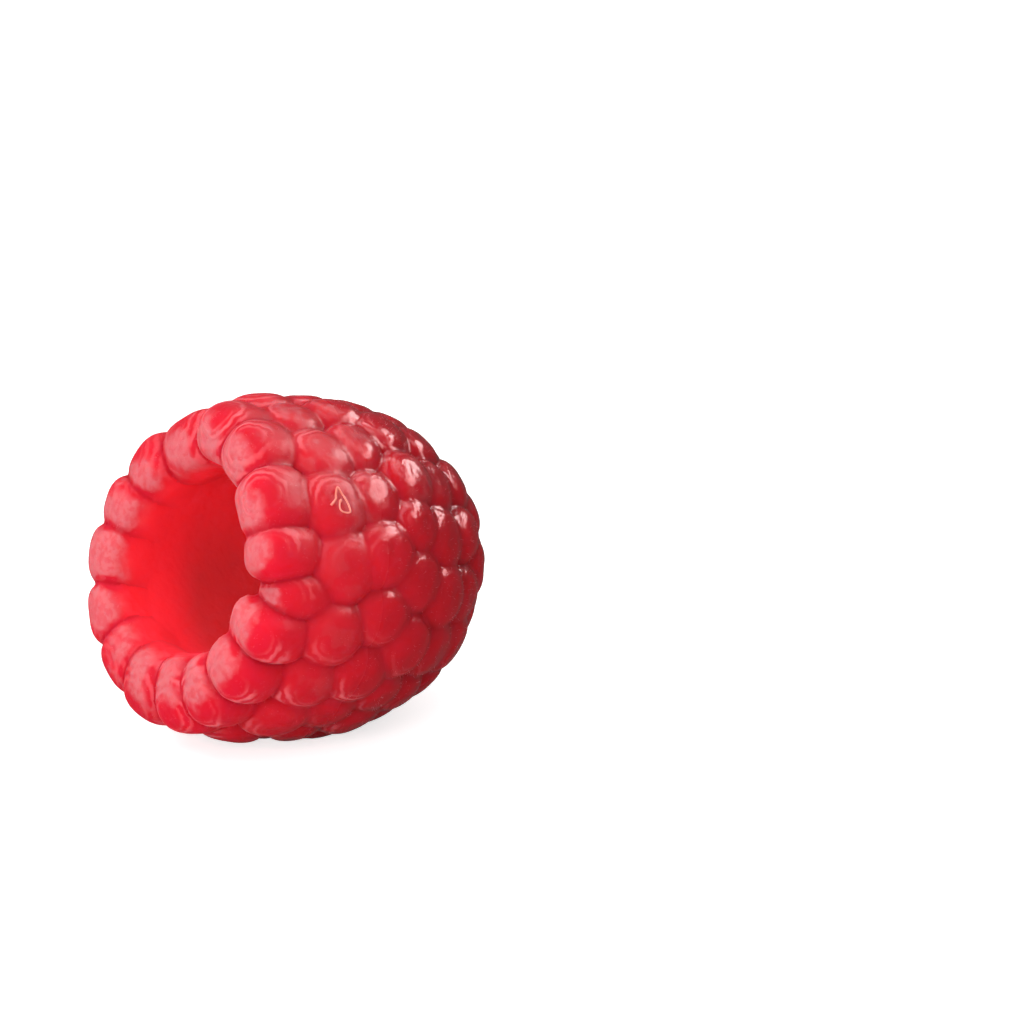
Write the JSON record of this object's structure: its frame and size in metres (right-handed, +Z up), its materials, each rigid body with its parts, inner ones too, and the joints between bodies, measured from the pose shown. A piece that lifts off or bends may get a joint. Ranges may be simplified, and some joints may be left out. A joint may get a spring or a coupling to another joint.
{
  "type": "raspberry",
  "caption": "Picked raspberry on its side: rounded drupelets round a hollow left by the core, open at the mouth.",
  "frame": {"origin": "on the ground under the middle of the berry's bounding box", "axes": "+Z up, the berry's long axis along Y with the open mouth facing -Y and the tip towards +Y"},
  "size_m": [0.0213, 0.0229, 0.0212],
  "materials": {
    "flesh": "satin"
  },
  "bodies": {
    "root": {"raspberry": "flesh"}
  },
  "joints": []
}
